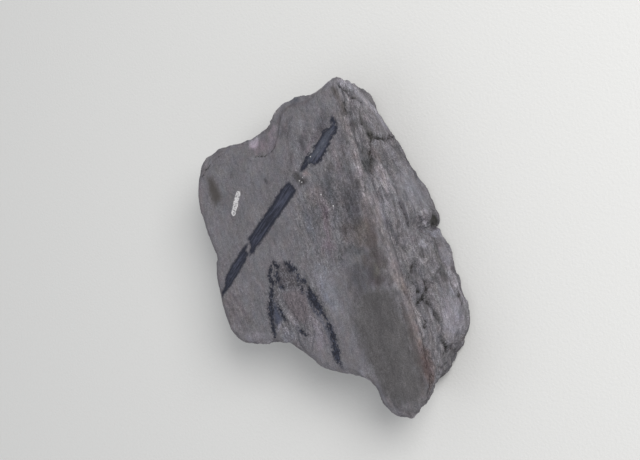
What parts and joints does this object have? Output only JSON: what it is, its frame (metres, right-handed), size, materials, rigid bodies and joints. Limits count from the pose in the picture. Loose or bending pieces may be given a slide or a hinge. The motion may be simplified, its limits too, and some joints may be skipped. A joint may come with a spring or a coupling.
{
  "type": "fossil cockroach",
  "caption": "Slab of grey shale, broken from its bed, with a cockroach fossil and a plant stem in its flat upper face.",
  "frame": {"origin": "under the middle of the slab's box, on the surface that the slab lies on", "axes": "+Z out of the fossil face, +Y up the face towards the slab's peak, +X across the face towards the thick broken side"},
  "size_m": [0.0834, 0.0932, 0.0223],
  "materials": {
    "grey_shale": "matte"
  },
  "bodies": {
    "root": {"fossil_slab": "grey_shale"}
  },
  "joints": []
}
